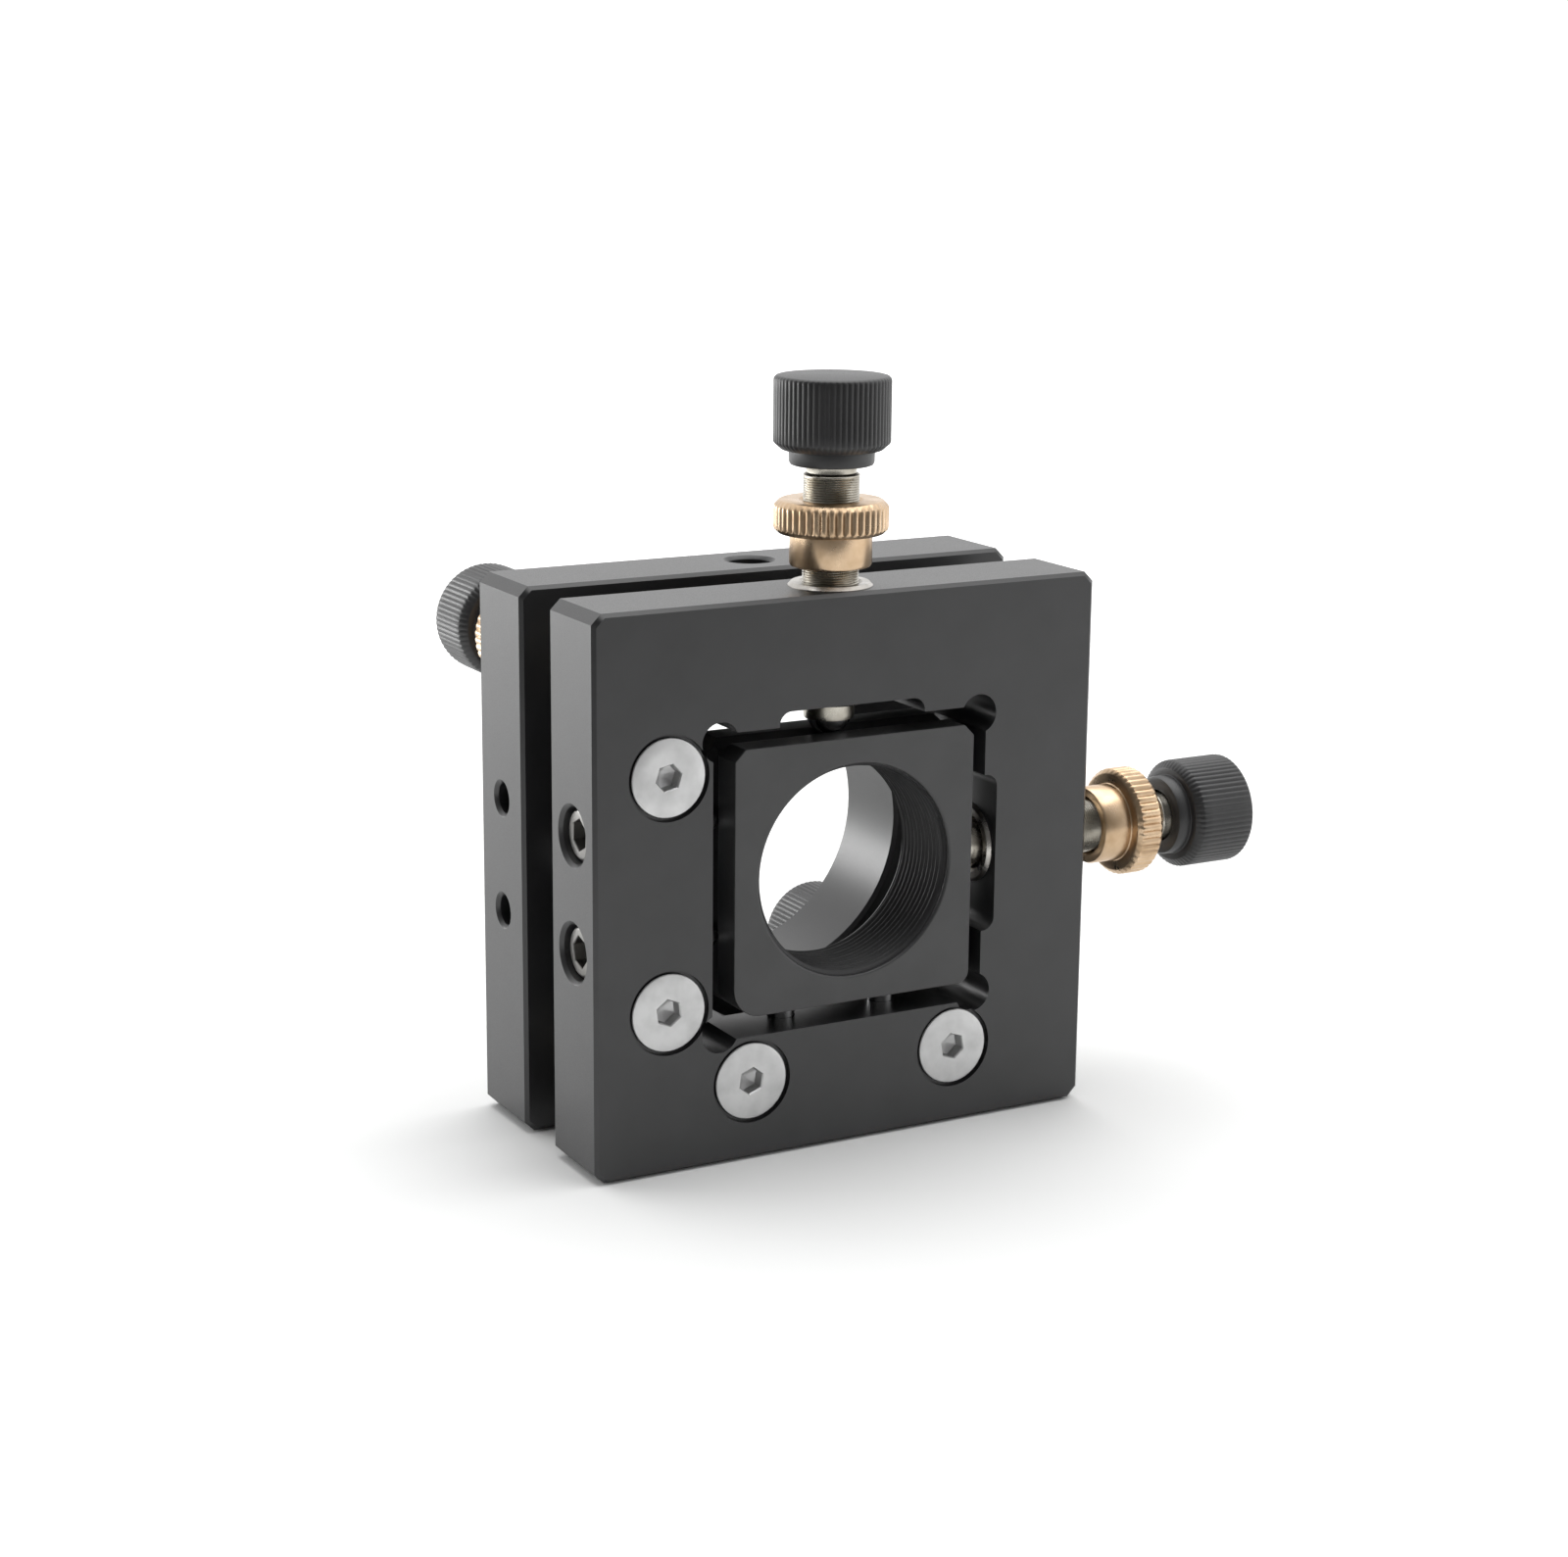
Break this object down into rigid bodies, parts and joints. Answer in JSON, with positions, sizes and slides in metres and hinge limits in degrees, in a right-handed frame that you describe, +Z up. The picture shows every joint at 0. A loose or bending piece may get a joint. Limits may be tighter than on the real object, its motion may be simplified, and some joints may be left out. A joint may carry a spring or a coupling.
{
  "type": "kinematic mirror mount",
  "caption": "Square mirror mount: a frame tilts on a pivot ball in front of a fixed plate, and a threaded optic cell in its window shifts sideways and up, each by a fine knurled screw.",
  "frame": {"origin": "mouth of the post hole, in the middle of the rear plate's underside", "axes": "+X to the right seen from the front, +Y to the rear along the light path, +Z up"},
  "size_m": [0.0826, 0.048, 0.0819],
  "materials": {
    "plate_black": "satin black anodised",
    "cell_black": "satin black anodised",
    "knob_black": "satin black anodised, knurled",
    "nut_brass": "satin turned, knurled",
    "bushing_steel": "bright turned",
    "screw_steel": "satin",
    "fastener_steel": "light matte",
    "polished_steel": "polished",
    "spring_steel": "drawn wire"
  },
  "bodies": {
    "base": {"rear_plate": "plate_black", "pivot_post": "screw_steel", "pitch_bushing": "bushing_steel", "yaw_bushing": "bushing_steel", "rear_spring_pins": "screw_steel"},
    "pivot": {"pivot_ball": "polished_steel"},
    "front": {"front_frame": "plate_black", "cone_seat": "polished_steel", "vee_seat": "polished_steel", "flat_seat": "polished_steel", "x_bushing": "bushing_steel", "z_bushing": "bushing_steel", "left_spring_bar": "plate_black", "bottom_spring_bar": "plate_black", "front_spring_pins": "screw_steel", "countersunk_screws": "fastener_steel", "left_set_screws": "fastener_steel", "bottom_set_screws": "fastener_steel", "left_push_springs": "spring_steel", "bottom_push_springs": "spring_steel", "left_tilt_spring": "spring_steel", "bottom_tilt_spring": "spring_steel"},
    "x_slide": {"x_tip_ball": "polished_steel", "left_plungers": "screw_steel"},
    "cell": {"optic_cell": "cell_black"},
    "x_drive": {"x_screw": "screw_steel", "x_knob": "knob_black"},
    "x_nut": {"x_lock_nut": "nut_brass"},
    "z_slide": {"z_tip_ball": "polished_steel", "bottom_plungers": "screw_steel"},
    "z_drive": {"z_screw": "screw_steel", "z_knob": "knob_black"},
    "z_nut": {"z_lock_nut": "nut_brass"},
    "pitch_slide": {"pitch_tip_ball": "polished_steel"},
    "pitch_drive": {"pitch_screw": "screw_steel", "pitch_knob": "knob_black"},
    "pitch_nut": {"pitch_lock_nut": "nut_brass"},
    "yaw_slide": {"yaw_tip_ball": "polished_steel"},
    "yaw_drive": {"yaw_screw": "screw_steel", "yaw_knob": "knob_black"},
    "yaw_nut": {"yaw_lock_nut": "nut_brass"}
  },
  "joints": [
    {"name": "pitch", "type": "hinge", "parent": "base", "child": "pivot", "pos_m": [-0.0215, -0.0127, 0.0085], "axis": [1, 0, 0], "range_deg": [-3, 1.15], "deforming": ["left_tilt_spring"]},
    {"name": "yaw", "type": "hinge", "parent": "pivot", "child": "front", "pos_m": [-0.0215, -0.0127, 0.0085], "axis": [0, 0, 1], "range_deg": [-1.15, 3], "deforming": ["bottom_tilt_spring"]},
    {"name": "x_travel", "type": "slide", "parent": "front", "child": "x_slide", "axis": [1, 0, 0], "range_m": [-0.0022, 0.0008], "deforming": ["left_push_springs"]},
    {"name": "cell_rise", "type": "slide", "parent": "x_slide", "child": "cell", "axis": [0, 0, 1], "range_m": [-0.0015, 0.0015]},
    {"name": "x_turn", "type": "hinge", "parent": "x_slide", "child": "x_drive", "pos_m": [0.01704, -0.01795, 0.03], "axis": [1, 0, 0], "range_deg": [-3169, 1153]},
    {"name": "x_lock", "type": "hinge", "parent": "front", "child": "x_nut", "pos_m": [0.038, -0.01795, 0.03], "axis": [1, 0, 0], "range_deg": [-1440, 1440]},
    {"name": "z_travel", "type": "slide", "parent": "front", "child": "z_slide", "axis": [0, 0, 1], "range_m": [-0.0015, 0.0015], "deforming": ["bottom_push_springs"]},
    {"name": "z_turn", "type": "hinge", "parent": "z_slide", "child": "z_drive", "pos_m": [0, -0.01795, 0.04634], "axis": [0, 0, 1], "range_deg": [-2161, 2161]},
    {"name": "z_lock", "type": "hinge", "parent": "front", "child": "z_nut", "pos_m": [0, -0.01795, 0.066], "axis": [0, 0, 1], "range_deg": [-1440, 1440]},
    {"name": "pitch_travel", "type": "slide", "parent": "base", "child": "pitch_slide", "axis": [0, 1, 0], "range_m": [-0.00086, 0.00225]},
    {"name": "yaw_travel", "type": "slide", "parent": "base", "child": "yaw_slide", "axis": [0, 1, 0], "range_m": [-0.00086, 0.00225]},
    {"name": "pitch_turn", "type": "hinge", "parent": "pitch_slide", "child": "pitch_drive", "pos_m": [-0.0215, -0.0127, 0.0515], "axis": [0, 1, 0], "range_deg": [-1239, 3241]},
    {"name": "yaw_turn", "type": "hinge", "parent": "yaw_slide", "child": "yaw_drive", "pos_m": [0.0215, -0.0127, 0.0085], "axis": [0, 1, 0], "range_deg": [-1239, 3241]},
    {"name": "pitch_lock", "type": "hinge", "parent": "base", "child": "pitch_nut", "pos_m": [-0.0215, 0.009, 0.0515], "axis": [0, 1, 0], "range_deg": [-720, 1440]},
    {"name": "yaw_lock", "type": "hinge", "parent": "base", "child": "yaw_nut", "pos_m": [0.0215, 0.009, 0.0085], "axis": [0, 1, 0], "range_deg": [-720, 1440]}
  ],
  "couplings": [
    {"joint": "x_turn", "follows": "x_travel", "rad_per_m": 25133},
    {"joint": "z_turn", "follows": "z_travel", "rad_per_m": 25133},
    {"joint": "cell_rise", "follows": "z_travel", "ratio": 1},
    {"joint": "pitch_turn", "follows": "pitch_travel", "rad_per_m": 25133},
    {"joint": "pitch", "follows": "pitch_travel", "rad_per_m": -23.256},
    {"joint": "yaw_turn", "follows": "yaw_travel", "rad_per_m": 25133},
    {"joint": "yaw", "follows": "yaw_travel", "rad_per_m": 23.256}
  ]
}
